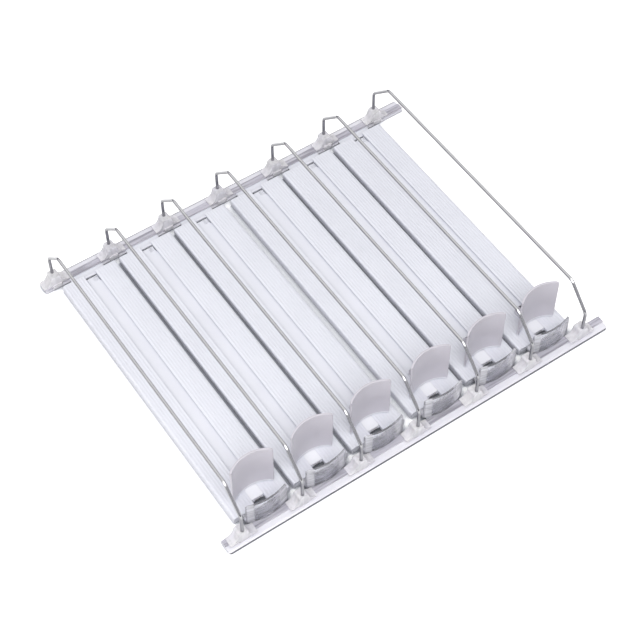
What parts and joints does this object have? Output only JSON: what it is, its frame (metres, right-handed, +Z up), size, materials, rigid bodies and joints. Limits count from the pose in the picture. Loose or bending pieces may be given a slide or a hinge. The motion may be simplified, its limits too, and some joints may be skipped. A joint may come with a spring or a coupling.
{
  "type": "fridge can organizer",
  "caption": "Can feeding tray for a fridge shelf: parallel tracks with sprung pushers, clear front stops and wire lane dividers on clear rails.",
  "frame": {"origin": "middle of the outline, on the shelf that the organizer stands on", "axes": "+X to the right along the rails, +Y from the front stops to the back, +Z up"},
  "size_m": [0.4794, 0.393, 0.0727],
  "materials": {
    "clear_plastic": "clear polished",
    "board_plastic": "satin",
    "pusher_plastic": "satin",
    "divider_steel": "plated wire",
    "spring_steel": "bright strip"
  },
  "bodies": {
    "base": {"front_rail": "clear_plastic", "rear_rail": "clear_plastic", "track_board_1": "board_plastic", "front_stop_1": "clear_plastic", "spring_ribbon_1": "spring_steel", "track_board_2": "board_plastic", "front_stop_2": "clear_plastic", "spring_ribbon_2": "spring_steel", "track_board_3": "board_plastic", "front_stop_3": "clear_plastic", "spring_ribbon_3": "spring_steel", "track_board_4": "board_plastic", "front_stop_4": "clear_plastic", "spring_ribbon_4": "spring_steel", "track_board_5": "board_plastic", "front_stop_5": "clear_plastic", "spring_ribbon_5": "spring_steel", "track_board_6": "board_plastic", "front_stop_6": "clear_plastic", "spring_ribbon_6": "spring_steel", "divider_wire_1": "divider_steel", "front_socket_1": "clear_plastic", "rear_socket_1": "clear_plastic", "divider_wire_2": "divider_steel", "front_socket_2": "clear_plastic", "rear_socket_2": "clear_plastic", "divider_wire_3": "divider_steel", "front_socket_3": "clear_plastic", "rear_socket_3": "clear_plastic", "divider_wire_4": "divider_steel", "front_socket_4": "clear_plastic", "rear_socket_4": "clear_plastic", "divider_wire_5": "divider_steel", "front_socket_5": "clear_plastic", "rear_socket_5": "clear_plastic", "divider_wire_6": "divider_steel", "front_socket_6": "clear_plastic", "rear_socket_6": "clear_plastic", "divider_wire_7": "divider_steel", "front_socket_7": "clear_plastic", "rear_socket_7": "clear_plastic"},
    "pusher_unit_1": {"pusher_1": "pusher_plastic", "spring_coil_1": "spring_steel"},
    "pusher_unit_2": {"pusher_2": "pusher_plastic", "spring_coil_2": "spring_steel"},
    "pusher_unit_3": {"pusher_3": "pusher_plastic", "spring_coil_3": "spring_steel"},
    "pusher_unit_4": {"pusher_4": "pusher_plastic", "spring_coil_4": "spring_steel"},
    "pusher_unit_5": {"pusher_5": "pusher_plastic", "spring_coil_5": "spring_steel"},
    "pusher_unit_6": {"pusher_6": "pusher_plastic", "spring_coil_6": "spring_steel"}
  },
  "joints": [
    {"name": "pusher_slide_1", "type": "slide", "parent": "base", "child": "pusher_unit_1", "axis": [0, 1, 0], "range_m": [0, 0.28], "stiffness_N_per_m": 4, "springref_m": -0.35},
    {"name": "pusher_slide_2", "type": "slide", "parent": "base", "child": "pusher_unit_2", "axis": [0, 1, 0], "range_m": [0, 0.28], "stiffness_N_per_m": 4, "springref_m": -0.35},
    {"name": "pusher_slide_3", "type": "slide", "parent": "base", "child": "pusher_unit_3", "axis": [0, 1, 0], "range_m": [0, 0.28], "stiffness_N_per_m": 4, "springref_m": -0.35},
    {"name": "pusher_slide_4", "type": "slide", "parent": "base", "child": "pusher_unit_4", "axis": [0, 1, 0], "range_m": [0, 0.28], "stiffness_N_per_m": 4, "springref_m": -0.35},
    {"name": "pusher_slide_5", "type": "slide", "parent": "base", "child": "pusher_unit_5", "axis": [0, 1, 0], "range_m": [0, 0.28], "stiffness_N_per_m": 4, "springref_m": -0.35},
    {"name": "pusher_slide_6", "type": "slide", "parent": "base", "child": "pusher_unit_6", "axis": [0, 1, 0], "range_m": [0, 0.28], "stiffness_N_per_m": 4, "springref_m": -0.35}
  ]
}
